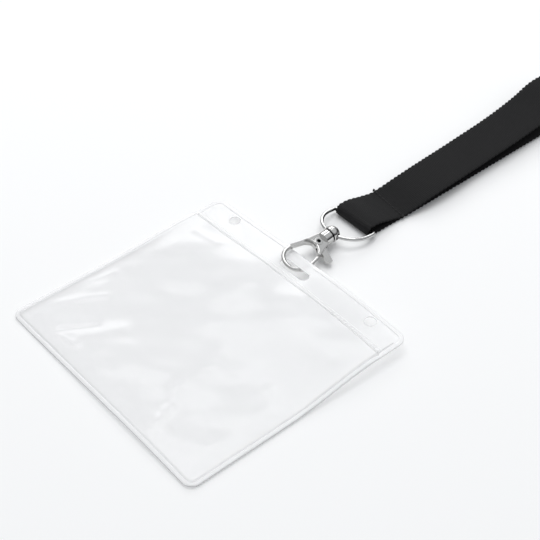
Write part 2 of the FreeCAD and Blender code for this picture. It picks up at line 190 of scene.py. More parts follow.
fold_low, fold_high = box_mm("strap_fold")
hank_low, hank_high = box_mm("strap_hank")
wallet_low, wallet_high = box_mm("back_sheet")
strap_x = (fold_low[0] + fold_high[0]) / 2
WEBBING_W = fold_high[0] - fold_low[0]
WEBBING_T = 0.8
fold_outer_r = (fold_high[2] - fold_low[2]) / 2
bar_y = fold_low[1] + fold_outer_r
seam_y = fold_high[1]
HALF_W = (wallet_high[0] - wallet_low[0]) / 2
HALF_H = (wallet_high[1] - wallet_low[1]) / 2
print("bar at y %.1f, seam at y %.1f, hank from y %.1f to %.1f" % (bar_y, seam_y, hank_low[1], hank_high[1]))

# %% [markdown]
# ## The webbing loop
# A neck lanyard is one band of webbing. Here its whole 900 mm is one closed ribbon: round the bar, up
# the upper leg, into the hank, where the doubled band lies three deep, and back down the lower leg. The
# side view is a chain of easy curves and half circles. The ribbon's two edges follow it, a little apart
# in height, because a strap that lies loose is never quite flat.

# %% Side view of the loop
STEP = 0.45          # distance between sections of the ribbon
LAYER = 1.15         # height of one layer of the hank
UNDER_HANK = 0.45    # room for the tie under the lowest layer
TURN_DETAIL = 1.6    # half circles get this many times more sections


def ease(start, end):
    """Level at both ends: height follows a smooth cubic step of the distance."""
    count = max(4, int(np.hypot(end[0] - start[0], end[1] - start[1]) / STEP))
    t = np.linspace(0, 1, count, endpoint=False)
    return np.stack([start[0] + (end[0] - start[0]) * t,
                     start[1] + (end[1] - start[1]) * (3 * t ** 2 - 2 * t ** 3)], axis=-1)


def half_turn(start, end, way):
    """Half circle from start to end, which lie one above the other; way is +1 to bulge towards +Y."""
    radius = abs(end[1] - start[1]) / 2
    angle = np.linspace(0, math.pi, max(10, int(math.pi * radius / STEP * TURN_DETAIL)), endpoint=False)
    rise = np.sign(end[1] - start[1])
    return np.stack([start[0] + way * radius * np.sin(angle),
                     start[1] + rise * radius * (1 - np.cos(angle))], axis=-1)


def layer_z(i):
    """Middle height of a layer of the hank; the lowest one leaves room for the tie under it."""
    return LAYER * (i + 0.5) + UNDER_HANK


fold_top = fold_high[2] - WEBBING_T / 2
near, far = hank_low[1] + 4.0, hank_high[1] - 2.2
LEG_TOP = [(bar_y, fold_top), (bar_y + 3.0, fold_top - 0.1), (seam_y - 4.0, 2.1), (seam_y + 1.5, 1.42),
           (seam_y + 5.0, 2.1), (seam_y + 11.0, 3.6), (seam_y + 46.0, 5.2), (seam_y + 74.0, 6.5),
           (seam_y + 88.0, 7.3), (seam_y + 102.0, 8.2), (seam_y + 114.0, 7.2), (seam_y + 122.0, 3.9),
           (near - 2.0, layer_z(1) + 0.3), (near, layer_z(1))]
leg_y = np.arange(bar_y, near, STEP)
upper_leg = np.stack([leg_y, curve_through(LEG_TOP, leg_y)], axis=-1)
inset = 0.15
outset = 1.0
hank_route = [
    ease((near, layer_z(1)), (far - inset, layer_z(1))),
    half_turn((far - inset, layer_z(1)), (far - inset, layer_z(2)), 1),
    ease((far - inset, layer_z(2)), (near + inset, layer_z(2))),
    half_turn((near + inset, layer_z(2)), (near + inset, layer_z(5)), -1),
    ease((near + inset, layer_z(5)), (far + outset, layer_z(5))),
    half_turn((far + outset, layer_z(5)), (far + outset, layer_z(4)), 1),
    ease((far + outset, layer_z(4)), (near + inset, layer_z(4))),
    half_turn((near + inset, layer_z(4)), (near + inset, layer_z(3)), -1),
    ease((near + inset, layer_z(3)), (far - inset, layer_z(3))),
    half_turn((far - inset, layer_z(3)), (far - inset, layer_z(0)), 1),
    ease((far - inset, layer_z(0)), (near, layer_z(0)))]
lower_z = WEBBING_T / 2 + 0.02
lower_leg = ease((near, layer_z(0)), (bar_y, lower_z))
fold = half_turn((bar_y, lower_z), (bar_y, fold_top), -1)
side_view = np.concatenate([upper_leg] + hank_route + [lower_leg, fold])
step_lengths = np.linalg.norm(np.roll(side_view, -1, 0) - side_view, axis=1)
LOOP_LENGTH = step_lengths.sum()
along = np.concatenate([[0], np.cumsum(step_lengths)[:-1]])
print("loop length %.1f mm, %d sections" % (LOOP_LENGTH, len(side_view)))

# %% [markdown]
# The band drifts a little sideways on its way and its left edge stands higher where it leaves the table.
# Woven tape has scalloped selvedges: the weft turns round there, thread by thread. They are part of the
# outline, so they are real bumps in the ribbon's width, and not only a pattern.

# %% The ribbon itself
DRIFT = [
    (bar_y - 4.0, -0.45), (bar_y + 6.0, -0.5), (seam_y, 0.3), (seam_y + 9.0, 1.6), (seam_y + 46.0, 1.1),
    (seam_y + 74.0, 0.3), (seam_y + 90.0, -0.9), (seam_y + 104.0, -2.6), (seam_y + 118.0, -1.8), (near, 0.0)]
LEFT_RISE = [
    (bar_y - 4.0, 0.0), (seam_y, 0.0), (seam_y + 9.0, 0.2), (seam_y + 46.0, 0.8), (seam_y + 74.0, 1.6),
    (seam_y + 90.0, 3.0), (seam_y + 102.0, 4.4), (seam_y + 114.0, 2.6), (seam_y + 122.0, 0.8), (near, 0.0)]
LOWER_DRIFT = 0.35          # the lower leg lies this far to the right of the D-ring's middle
SMOOTH_REACH = 20           # each section takes the mean drift of this many on either side
SCALLOP_PITCH = 2.15
SCALLOP_DEPTH = 0.6
FLAT_SHARE = 0.955          # the flat part of the webbing's section, as a share of its width
SELVEDGE_FROM = 0.9         # the selvedge starts at this share of the half width
SELVEDGE_IN = 0.12          # and is drawn in by this much on average
SELVEDGE_THINNING = 0.18


def webbing_section(count_flat=13, count_round=5):
    """Flat oval: two long faces and rounded selvedges, as (across -1..1, through -1..1)."""
    flat = np.linspace(-FLAT_SHARE, FLAT_SHARE, count_flat)
    turn = np.linspace(0, math.pi, count_round + 2)[1:-1]
    right = np.stack([FLAT_SHARE + (1 - FLAT_SHARE) * np.sin(turn), np.cos(turn)], axis=-1)
    left = -right
    top = np.stack([flat, np.ones_like(flat)], axis=-1)
    bottom = np.stack([flat[::-1], -np.ones_like(flat)], axis=-1)
    return np.concatenate([top, right, bottom, left])


def ribbon(name, route, across_shift, left_rise, distance):
    """Closed band: point = middle + side * across * half width + normal * through * half thickness."""
    middle = np.column_stack([strap_x + across_shift, route])
    side = unit(np.column_stack([np.full(len(route), WEBBING_W), np.zeros(len(route)), -left_rise]))
    tangent = unit(np.roll(middle, -1, 0) - np.roll(middle, 1, 0))
    normal = unit(np.cross(side, tangent))
    side = np.cross(tangent, normal)
    section = webbing_section()
    wave = np.abs(np.sin(math.pi * distance / SCALLOP_PITCH)) - 0.5
    half_w = WEBBING_W / 2 - SELVEDGE_IN + SCALLOP_DEPTH * wave
    edge = np.clip((np.abs(section[:, 0]) - SELVEDGE_FROM) / (1 - SELVEDGE_FROM), 0, 1)
    across = section[None, :, 0] * (WEBBING_W / 2 + (half_w - WEBBING_W / 2)[:, None] * edge[None, :])
    through = section[None, :, 1] * WEBBING_T / 2 * (1 - SELVEDGE_THINNING * edge[None, :])
    points = (middle[:, None] + side[:, None] * across[..., None] + normal[:, None] * through[..., None])
    rows, cols = points.shape[:2]
    uv = np.stack(np.broadcast_arrays(across, distance[:, None]), axis=-1)
    return face_outwards(mesh_object(name, points, grid_faces(rows, cols, True, True), uv))


def smoothed(values):
    """Bell-weighted mean of each value and its neighbours, wrapped round the closed loop."""
    kernel = np.hanning(2 * SMOOTH_REACH + 1)
    wrapped = np.concatenate([values[-SMOOTH_REACH:], values, values[:SMOOTH_REACH]])
    return np.convolve(wrapped, kernel / kernel.sum(), mode="valid")


place = np.arange(len(side_view))
is_upper = place < len(upper_leg)
is_lower = (place >= len(side_view) - len(fold) - len(lower_leg)) & (side_view[:, 0] > seam_y)
shift = np.where(is_upper, curve_through(DRIFT, side_view[:, 0]), np.where(is_lower, LOWER_DRIFT, 0.0))
rise = np.where(is_upper, curve_through(LEFT_RISE, side_view[:, 0]), 0.0)
webbing = ribbon("webbing_loop", side_view, smoothed(shift), smoothed(rise), along)
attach(webbing, "strap")
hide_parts("strap_fold", "strap_upper_leg", "strap_lower_leg", "strap_hank")
print("webbing:", len(webbing.data.polygons), "faces")

# %% [markdown]
# ## The seam
# A lockstitch is a row of short thread loops that dip into the cloth at each end. Each stitch is a small
# capsule that arcs over the webbing. One bar of thread at each end holds the seam, where the machine
# went back and forth.

# %% Stitches across the webbing
THREAD_R = 0.19
STITCH_GAP = 0.4        # between two stitches, where the thread dips into the cloth
STITCH_SINK = 0.05
STITCH_ARCH = 0.16
KNOT_LONG = 1.1
KNOT_R = 0.42
KNOT_ARCH = 0.8
KNOT_SINK = 0.4
SEAM_SLOPE = 0.11       # the seam runs a little askew
SEAM_IN = 0.7           # the outer stitches end this far inside the selvedge
seam_line = seam_y + 1.7


def stitch(start, end, height, radius, segments=10, around=8):
    """Small arched capsule: its middle line is a parabola between two holes, thinner at the ends."""
    t = np.linspace(0, 1, segments)
    line = start + (end - start) * t[:, None]
    line[:, 2] += height * 4 * t * (1 - t)
    size = radius * np.sqrt(np.clip(1 - (2 * t - 1) ** 4, 0.02, 1))
    direction = unit(end - start)
    side = unit(np.cross(direction, [0.0, 0.0, 1.0]))
    up = np.cross(side, direction)
    angle = np.linspace(0, 2 * math.pi, around, endpoint=False)
    ring = side * np.cos(angle)[:, None] + up * np.sin(angle)[:, None]
    return line[:, None] + ring[None] * size[:, None, None]


def joined_capsules(name, capsules):
    """One mesh from several capsules of the same grid, each closed with a cap at both ends."""
    rows, cols = capsules[0].shape[:2]
    one = grid_faces(rows, cols, False, True) + end_caps(rows, cols)
    faces = [[corner + i * rows * cols for corner in face] for i in range(len(capsules)) for face in one]
    return face_outwards(mesh_object(name, np.concatenate(capsules), faces))


def seam_point(across):
    """A point on the seam: it runs a little askew, so its left end lies further along the strap."""
    y = seam_line - SEAM_SLOPE * across
    at = np.array([y])
    return np.array([strap_x + curve_through(DRIFT, at)[0] + across, y,
                     curve_through(LEG_TOP, at)[0] + WEBBING_T / 2])


edges = np.linspace(-WEBBING_W / 2 + SEAM_IN, WEBBING_W / 2 - SEAM_IN, 9)
sink = np.array([0, 0, STITCH_SINK])
capsules = [stitch(seam_point(a + STITCH_GAP / 2) - sink, seam_point(b - STITCH_GAP / 2) - sink,
                   STITCH_ARCH, THREAD_R) for a, b in zip(edges, edges[1:])]
for end in (edges[0] - 0.85, edges[-1] + 1.0):
    knot = seam_point(end) - [0, 0, KNOT_SINK]
    reach = np.array([0, KNOT_LONG / 2, 0])
    capsules.append(stitch(knot - reach, knot + reach, KNOT_ARCH, KNOT_R))
seam = joined_capsules("seam_stitches", capsules)
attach(seam, "strap")
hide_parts("seam_thread")
print("stitches:", len(capsules))

# %% [markdown]
# ## The tie
# A flat elastic band goes once round the hank. Its section is a thin rounded strip, and its path is a
# rectangle with round corners, stood up in the plane across the hank.

# %% Elastic band round the hank
TIE_W = 8.0
TIE_T = 0.6
TIE_CORNER = 0.9


def rounded_rectangle(half_a, half_b, radius, per_corner=9, per_side=10):
    """Closed outline, anticlockwise: straight sides and quarter circles, as an array of (a, b)."""
    points = []
    for k in range(4):
        ca = (half_a - radius) * (1 if k in (0, 3) else -1)
        cb = (half_b - radius) * (1 if k in (0, 1) else -1)
        angle = np.linspace(0, math.pi / 2, per_corner) + k * math.pi / 2
        points.append(np.stack([ca + radius * np.cos(angle), cb + radius * np.sin(angle)], axis=-1))
    loop = np.concatenate(points)
    closed = np.concatenate([loop, loop[:1]])
    reach = np.concatenate([[0], np.cumsum(np.linalg.norm(np.diff(closed, axis=0), axis=1))])
    even = np.linspace(0, reach[-1], per_side * 16, endpoint=False)
    return np.stack([np.interp(even, reach, closed[:, 0]), np.interp(even, reach, closed[:, 1])], axis=-1)


def band_round(name, middle, half_a, half_b, width, thickness):
    """Flat band: outline point + outward * through + along Y * across."""
    outline = rounded_rectangle(half_a, half_b, TIE_CORNER)
    tangent = unit(np.roll(outline, -1, 0) - np.roll(outline, 1, 0))
    outward = np.stack([tangent[:, 1], -tangent[:, 0]], axis=-1)
    section = webbing_section(9, 3)
    across = section[:, 0] * width / 2
    through = section[:, 1] * thickness / 2 + thickness / 2
    flat = outline[:, None] + outward[:, None] * through[None, :, None]
    y = np.broadcast_to(middle[1] + across[None, :], flat.shape[:2])
    points = np.stack([middle[0] + flat[..., 0], y, middle[2] + flat[..., 1]], axis=-1)
    distance = np.arange(len(outline)) * np.linalg.norm(outline[1] - outline[0])
    uv = np.stack(np.broadcast_arrays(across[None, :], distance[:, None]), axis=-1)
    rows, cols = points.shape[:2]
    return face_outwards(mesh_object(name, points, grid_faces(rows, cols, True, True), uv))


hank_top = layer_z(5) + WEBBING_T / 2
tie_under = TIE_T + 0.02
tie_middle = (strap_x, (hank_low[1] + hank_high[1]) / 2, (hank_top + tie_under) / 2)
tie = band_round("hank_band", tie_middle, WEBBING_W / 2 + 0.02, (hank_top - tie_under) / 2, TIE_W, TIE_T)
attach(tie, "strap")
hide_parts("hank_tie")
print("band round the hank, top at %.1f mm" % (hank_top + TIE_T))

# %% [markdown]
# ## The wallet's shape
# Soft vinyl lies flat at its closed end and rises where the hook holds up the header. The rise is
# highest a little to the right of the hook, because the claw's right arm passes under the film. All
# layers share one height function, so that they stay together.

# %% Height of the film
CORNER_R = 4.0
FILM_T = 0.15
HOOK_X = -3.5              # round this place the claw holds the film at its own height
HOOK_REACH = 9.0
HEADER_LEFT = 1.75         # height of the header's left end
HEADER_TILT = 2.5          # its right end lies this much higher
HEADER_BOW = 2.1
RISE_FROM, RISE_TO = -6.0, 34.0
END_BOW, END_REACH = 1.2, 9.0
SIDE_LIFT, SIDE_REACH = 0.35, 5.0
TABLE_GAP = 0.02
MOUTH_Y = box_mm("front_panel")[1][1]
HEADER_Y = MOUTH_Y + 0.6   # the header strip starts just behind the pocket's mouth
HEADER_LIFT = box_mm("header_strip")[0][2] - FILM_T


def smooth_step(value, low, high):
    """0 below low, 1 above high, and 3 t squared minus 2 t cubed in between."""
    t = np.clip((value - low) / (high - low), 0, 1)
    return t * t * (3 - 2 * t)


def film_height(x, y):
    """Height of the back sheet: the header's height times a smooth rise along the wallet, plus a
    slight bow of the closed end and a slight lift of both sides. The header's height is a tilt and
    half a sine wave along it, blended into the hook's own height by a bell curve round HOOK_X."""
    s = np.clip((x + HALF_W) / (2 * HALF_W), 0, 1)
    header = HEADER_LEFT + HEADER_TILT * s + HEADER_BOW * np.sin(math.pi * s ** 1.5)
    near_hook = np.exp(-((x - HOOK_X) / HOOK_REACH) ** 2)
    header = header * (1 - near_hook) + HEADER_LIFT * near_hook
    rise = smooth_step(y, RISE_FROM, RISE_TO)
    closed_end = END_BOW * np.sin(math.pi * s ** 1.9) * np.exp(-((y + HALF_H) / END_REACH) ** 2)
    left, right = np.exp(-((x + HALF_W) / SIDE_REACH) ** 2), np.exp(-((x - HALF_W) / SIDE_REACH) ** 2)
    return header * rise + closed_end + SIDE_LIFT * (left + right) * (1 - rise) + TABLE_GAP


def half_width(y):
    """Half width of the wallet at y, drawn in at the four rounded corners."""
    into = np.clip(CORNER_R - (HALF_H - np.abs(y)), 0, CORNER_R)
    return HALF_W - CORNER_R + np.sqrt(np.clip(CORNER_R ** 2 - into ** 2, 0, None))


def rows_between(low, high, spacing):
    """Row positions: evenly spaced, closer together inside the rounded corners."""
    even = np.linspace(low, high, int((high - low) / spacing) + 1)
    angle = np.linspace(0, math.pi / 2, 7)
    corner = CORNER_R * (1 - np.cos(angle))
    extra = np.concatenate([-HALF_H + corner, HALF_H - corner])
    extra = extra[(extra > low) & (extra < high)]
    return np.unique(np.round(np.concatenate([even, extra]), 4))


def film_layer(name, y_low, y_high, surface, spacing=0.62, columns=170):
    """Thin closed sheet: the upper grid is surface(x, y), the lower grid one film thickness below."""
    y = rows_between(y_low, y_high, spacing)[:, None]
    s = np.linspace(-1, 1, columns)[None, :]
    s = s * (1.25 - 0.25 * s * s)
    x = s * half_width(y)
    y = np.broadcast_to(y, x.shape)
    z = surface(x, y)
    top = np.stack([x, y, z], axis=-1)
    bottom = np.stack([x, y, z - FILM_T], axis=-1)
    rows, cols = x.shape
    points = np.concatenate([top, bottom[:, ::-1]], axis=1)
    faces = grid_faces(rows, 2 * cols, False, True)
    first = [[c, 2 * cols - 1 - c, 2 * cols - 2 - c, c + 1] for c in range(cols - 1)]
    shift_row = (rows - 1) * 2 * cols
    last = [[v + shift_row for v in face[::-1]] for face in first]
    return face_outwards(mesh_object(name, points, faces + first + last))


print("film rises to %.2f mm at the hook" % film_height(np.array([HOOK_X]), np.array([42.0]))[0])

# %% [markdown]
# The front panel is a second layer over the first. It is welded along three sides and lifts off the back
# sheet in between, like a very flat pillow. Vinyl that has been folded keeps soft creases, so a few
# ridges are laid over it, each a long bell-shaped wave along its own line, and a gentle
# overall ripple of three crossed sine waves.

# %% Creases and ripples of the front panel
CREASES = [  # start x, y, end x, y, width, height
    (-52, -28, -47, -8, 1.8, 0.22), (-49, -36, -38, -18, 2.0, 0.22), (-34, -41, -27, -30, 1.6, -0.30),
    (-33, -44, -24, -41, 1.4, 0.32), (-26, -38, -20, -24, 3.0, 0.30), (-16, -34, 14, -22, 7.0, 0.75),
    (16, -27, 22, -34, 2.4, 0.35), (22, -34, 26, -44, 2.2, 0.32), (17, -9, 22, -8, 4.0, 0.42),
    (37, 20, 44, 22, 3.6, 0.40), (38, -2, 47, -9, 2.4, 0.40), (-30, 8, -6, 14, 6.0, 0.18),
    (0, 2, 26, 8, 8.0, 0.22), (-44, 29, -32, 31, 1.6, 0.25), (28, -22, 40, -30, 5.0, -0.25),
    (-10, 22, 14, 26, 4.5, -0.16), (-48, 6, -40, 18, 3.0, 0.16), (8, -14, 14, 2, 5.0, 0.15)]


def creases(x, y):
    """Sum of bell-shaped waves: height * exp(-(distance to a short line / width) squared)."""
    total = np.zeros_like(x)
    for x0, y0, x1, y1, width, height in CREASES:
        length2 = (x1 - x0) ** 2 + (y1 - y0) ** 2
        t = np.clip(((x - x0) * (x1 - x0) + (y - y0) * (y1 - y0)) / length2, 0, 1)
        away = np.hypot(x - x0 - t * (x1 - x0), y - y0 - t * (y1 - y0))
        total = total + height * np.exp(-(away / width) ** 2)
    return total


def ripple(x, y):
    """Three crossed sine waves of different length, each a tenth of a millimetre high at most."""
    return (0.10 * np.sin(0.21 * x + 0.13 * y + 1.0) + 0.07 * np.sin(-0.17 * x + 0.31 * y + 0.4)
            + 0.04 * np.sin(0.43 * x - 0.38 * y + 2.2))


PILLOW_FROM, PILLOW_TO = 1.6, 11.0
PUFF_EDGE, PUFF_MIDDLE = 0.75, 0.5
WELD_IN = 2.4


def from_weld(x, y):
    """Distance from the nearest of the three welded sides."""
    return np.minimum(half_width(y) - np.abs(x), y + HALF_H)


def pillow(x, y):
    """0 near the welded sides and 1 inside, through a smooth step from PILLOW_FROM to PILLOW_TO."""
    return smooth_step(from_weld(x, y), PILLOW_FROM, PILLOW_TO)


def back_surface(x, y):
    """Film height plus a third of the ripple, which fades out towards the header."""
    return film_height(x, y) + FILM_T + 0.3 * ripple(x, y) * pillow(x, y) * (1 - smooth_step(y, 28, 36))


def front_surface(x, y):
    """Film height plus a puff that starts at the weld, plus creases and ripple inside the pillow."""
    puff = PUFF_EDGE + PUFF_MIDDLE * pillow(x, y) * (1 - smooth_step(y, 20.0, MOUTH_Y))
    waves = (creases(x, y) + ripple(x, y)) * pillow(x, y)
    return film_height(x, y) + 2 * FILM_T + puff * smooth_step(from_weld(x, y), 0.0, WELD_IN) + waves


def header_surface(x, y):
    """The header lies flat on the back sheet."""
    return film_height(x, y) + 2 * FILM_T + 0.01


film_front = film_layer("film_front", -HALF_H, MOUTH_Y, front_surface)
film_back = film_layer("film_back", -HALF_H, HALF_H, back_surface, spacing=0.8, columns=150)
film_header = film_layer("film_header", HEADER_Y, HALF_H, header_surface, spacing=0.8, columns=150)
print("film layers:", [len(o.data.polygons) for o in (film_front, film_back, film_header)])

# %% [markdown]
# The slot and the two round holes are punched through the header after welding, so both layers are cut
# by the same three punches. A Boolean modifier does what the punch does, and is then applied.

# %% Punch the slot and the holes
SLOT_Y, SLOT_LONG, SLOT_WIDE = 42.7, 14.6, 4.4
HOLE_X, HOLE_Y, HOLE_R = 39.0, 45.3, 2.25


def punch(name, middle_x, middle_y, half_straight, radius, around=48):
    """Upright prism with two round ends; with no straight part it is a plain cylinder."""
    angle = np.linspace(0, 2 * math.pi, around, endpoint=False) + math.pi / around
    x = middle_x + radius * np.cos(angle) + half_straight * np.sign(np.cos(angle))
    y = middle_y + radius * np.sin(angle)
    low = np.stack([x, y, np.full(around, -5.0)], axis=-1)
    high = np.stack([x, y, np.full(around, 15.0)], axis=-1)
    faces = grid_faces(2, around, False, True) + end_caps(2, around)
    return face_outwards(mesh_object(name, np.concatenate([low, high]), faces, smooth=False))


def apply_modifiers(obj):
    """Replace the mesh by what its modifiers make of it."""
    bpy.context.view_layer.update()
    evaluated = obj.evaluated_get(bpy.context.evaluated_depsgraph_get())
    mesh = bpy.data.meshes.new_from_object(evaluated)
    obj.modifiers.clear()
    obj.data = mesh


punches = [punch("punch_slot", 0.0, SLOT_Y, (SLOT_LONG - SLOT_WIDE) / 2, SLOT_WIDE / 2),
           punch("punch_left", -HOLE_X, HOLE_Y, 0.0, HOLE_R),
           punch("punch_right", HOLE_X, HOLE_Y, 0.0, HOLE_R)]
for layer in (film_back, film_header):
    for tool in punches:
        cut = layer.modifiers.new(tool.name, "BOOLEAN")
        cut.operation = "DIFFERENCE"
        cut.object = tool
        cut.solver = "EXACT"
    apply_modifiers(layer)
for tool in punches:
    bpy.data.objects.remove(tool)
print("after punching:", len(film_back.data.polygons), len(film_header.data.polygons))

# %% [markdown]
# ## The welded rim
# High-frequency welding squeezes the layers together and pushes a soft bead up along the edge. The bead
# is a low oval profile carried round the outline. A much thinner and darker line runs just inside it
# along the right side and the closed end, as painted shade.

# %% Rim bead and painted shade line
BEAD_IN, BEAD_HALF_W, BEAD_HALF_T = 0.85, 0.85, 0.26
BEAD_LEAST = 0.3              # the flattest part of the bead, as a share of its thickness
HEADER_THINNING = 0.62        # the bead is this much thinner along the header
LEFT_THINNING = 0.45          # and this much along the left side
SHADE_LINE_IN = 2.2
PRESSED_FLAT = 0.12           # what the open gate takes from the bead's height and thickness
gate_low, gate_high = box_mm("gate")


def rim_outline(inset):
    """Rounded outline of the wallet, inset by some millimetres, as (x, y) points."""
    radius = CORNER_R - min(inset, CORNER_R - 0.6)
    return rounded_rectangle(HALF_W - inset, HALF_H - inset, radius, per_corner=14, per_side=60)


def oval(half_a, half_b, count=14):
    """Ellipse as a tube's profile, with its two half sizes."""
    angle = np.linspace(0, 2 * math.pi, count, endpoint=False)
    return np.stack([half_a * np.cos(angle), half_b * np.sin(angle)], axis=-1)


def under_gate(x, y):
    """1 on the header's edge below the gate, where the open gate presses the bead flat."""
    middle = (gate_low[0] + gate_high[0]) / 2
    return np.exp(-((x - middle) / 9.0) ** 4) * smooth_step(y, 30.0, 38.0)


def rim_height(x, y):
    """Film height plus the layers under the bead, a little more on the pocket, less under the gate."""
    on_pocket = 1 - smooth_step(y, MOUTH_Y - 2.0, MOUTH_Y + 2.0)
    return film_height(x, y) + 2 * FILM_T + 0.02 + 0.3 * on_pocket - PRESSED_FLAT * under_gate(x, y)


outer = rim_outline(BEAD_IN)
outer_x, outer_y = outer.T
bead_size = (1 - HEADER_THINNING * smooth_step(outer_y, 30.0, 38.0)
             - LEFT_THINNING * smooth_step(-outer_x, 50.0, 53.0))
bead_size = np.clip(bead_size, BEAD_LEAST, 1.0) - PRESSED_FLAT * under_gate(outer_x, outer_y)
rim = tube_object("rim_bead", np.column_stack([outer, rim_height(outer_x, outer_y)]),
                  oval(BEAD_HALF_W, BEAD_HALF_T), closed_path=True, thickness=bead_size)
# Painted shade: a thin darker line just inside the bead, along the right side and the closed end only.
inner = rim_outline(SHADE_LINE_IN)
near_sides = (inner[:, 1] < MOUTH_Y + 8) & ((inner[:, 0] > HALF_W - 4) | (inner[:, 1] < -HALF_H + 4))
start = np.flatnonzero(near_sides & ~np.roll(near_sides, 1))[0]
inner = np.roll(inner, -start, axis=0)[:near_sides.sum()]
shade_line = tube_object("painted_shade_line", np.column_stack([inner, rim_height(inner[:, 0], inner[:, 1]) + 0.08]),
                   oval(0.13, 0.1, 8))
print("rim:", len(rim.data.polygons), "faces")

# %% [markdown]
# The free edge of the front panel and the line where the header was fused run side by side. The
# electrode left a faint ladder of cross marks near the right end. The punched holes have a thin raised
# lip, which catches the light.

# %% Mouth line, ladder marks and hole lips
LINE_END = 2.5               # the lines stop this far from the wallet's sides
LADDER_FROM, LADDER_TO, LADDER_STEP = 26.0, 51.0, 1.9
LIP_OUT = 0.14


def above_film(x, y, lift):
    """Path on the header film: its own height plus the lift."""
    return np.column_stack([x, y, header_surface(x, y) + lift])


line_x = np.linspace(-HALF_W + LINE_END, HALF_W - LINE_END, 220)
mouth_y = MOUTH_Y + 0.35 + 0.18 * np.sin(line_x * 0.16 + 0.6) + 0.1 * np.sin(line_x * 0.41)
mouth = tube_object("mouth_line", above_film(line_x, mouth_y, 0.04), oval(0.17, 0.09, 10))
fused_y = MOUTH_Y + 2.3 + 0.2 * np.sin(line_x * 0.13 + 2.0)
fused = tube_object("fused_line", above_film(line_x, fused_y, 0.0), oval(0.16, 0.08, 10))
marks = []
for x in np.arange(LADDER_FROM, LADDER_TO, LADDER_STEP):
    ends = above_film(np.array([x, x + 0.5]), np.array([HEADER_Y, HEADER_Y + 1.5]), 0.02)
    marks.append(stitch(ends[0], ends[1], 0.03, 0.13))
ladder = joined_capsules("weld_ladder", marks)


def lip(name, middle_x, middle_y, radius):
    """Thin ring round a punched hole."""
    angle = np.linspace(0, 2 * math.pi, 60, endpoint=False)
    x, y = middle_x + radius * np.cos(angle), middle_y + radius * np.sin(angle)
    return tube_object(name, above_film(x, y, 0.03), oval(0.12, 0.1, 8), closed_path=True)


lips = [lip(name, x, HOLE_Y, HOLE_R + LIP_OUT) for name, x in (("lip_left", -HOLE_X), ("lip_right", HOLE_X))]
print("ladder marks:", len(marks))

# %% [markdown]
# All of it moves with the wallet. The three layers of film stand for the three sheets of the pocket,
# and the rim and the fine lines are extra pieces on top of them.

# %% Join the wallet's pieces to the frame
for piece, node in ((film_front, "front_panel"), (film_back, "back_sheet"), (film_header, "header_strip")):
    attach(piece, "wallet")
    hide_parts(node)
raised = [rim, shade_line, mouth, fused, ladder] + lips
for piece in raised:
    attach(piece, "wallet")
print("wallet pieces:", 3 + len(raised))

# %% [markdown]
# ## Finishes
# A material is a small graph: pattern groups give masks and heights, which feed the roughness, colour
# and bump of one Principled shader. Three groups are shared: a fine speckle for cast and plated metal,
# the ribs of woven tape, and the soft mottling of vinyl.

# %% Node helpers
def new_group(name, inputs, outputs):
    """Shader group of plain numbers, with its input and output nodes."""
    group = bpy.data.node_groups.new(name, "ShaderNodeTree")
    for label, value in inputs:
        socket = group.interface.new_socket(name=label, in_out="INPUT", socket_type="NodeSocketFloat")
        socket.default_value = value
    for label in outputs:
        group.interface.new_socket(name=label, in_out="OUTPUT", socket_type="NodeSocketFloat")
    return group, group.nodes.new("NodeGroupInput"), group.nodes.new("NodeGroupOutput")


def math_node(tree, operation, a, b=None):
    """One sum, product or function of numbers or sockets."""
    node = tree.nodes.new("ShaderNodeMath")
    node.operation = operation
    for i, value in enumerate((a, b)):
        if value is None:
            continue
        if isinstance(value, (int, float)):
            node.inputs[i].default_value = value
        else:
            tree.links.new(value, node.inputs[i])
    return node.outputs[0]


print("node helpers ready")

# %% [markdown]
# The speckle mixes fine noise with noise that is stretched along one axis, like the traces of polishing.

# %% Speckle of plated metal
def plated_speckle():
    """Fine casting grain and long faint polishing lines, on Object coordinates."""
    group, source, sink = new_group("plated_speckle", [("Grain", 900.0), ("Lines", 2500.0)],
                                    ["Mask", "Height"])
    coords = group.nodes.new("ShaderNodeTexCoord")
    grain = group.nodes.new("ShaderNodeTexNoise")
    grain.inputs["Detail"].default_value = 5.0
    group.links.new(coords.outputs["Object"], grain.inputs["Vector"])
    group.links.new(source.outputs["Grain"], grain.inputs["Scale"])
    stretch = group.nodes.new("ShaderNodeMapping")
    stretch.inputs["Scale"].default_value = (1.0, 0.06, 1.0)
    group.links.new(coords.outputs["Object"], stretch.inputs["Vector"])
    lines = group.nodes.new("ShaderNodeTexNoise")
    lines.inputs["Detail"].default_value = 2.0
    group.links.new(stretch.outputs[0], lines.inputs["Vector"])
    group.links.new(source.outputs["Lines"], lines.inputs["Scale"])
    both = math_node(group, "ADD", math_node(group, "MULTIPLY", grain.outputs["Fac"], 0.6),
                     math_node(group, "MULTIPLY", lines.outputs["Fac"], 0.4))
    group.links.new(both, sink.inputs["Mask"])
    group.links.new(both, sink.inputs["Height"])
    return group


SPECKLE = plated_speckle()
print("group:", SPECKLE.name)

# %% [markdown]
# Ribs and yarns are two sine waves on the cloth's own UV map, one along the tape and one across it.

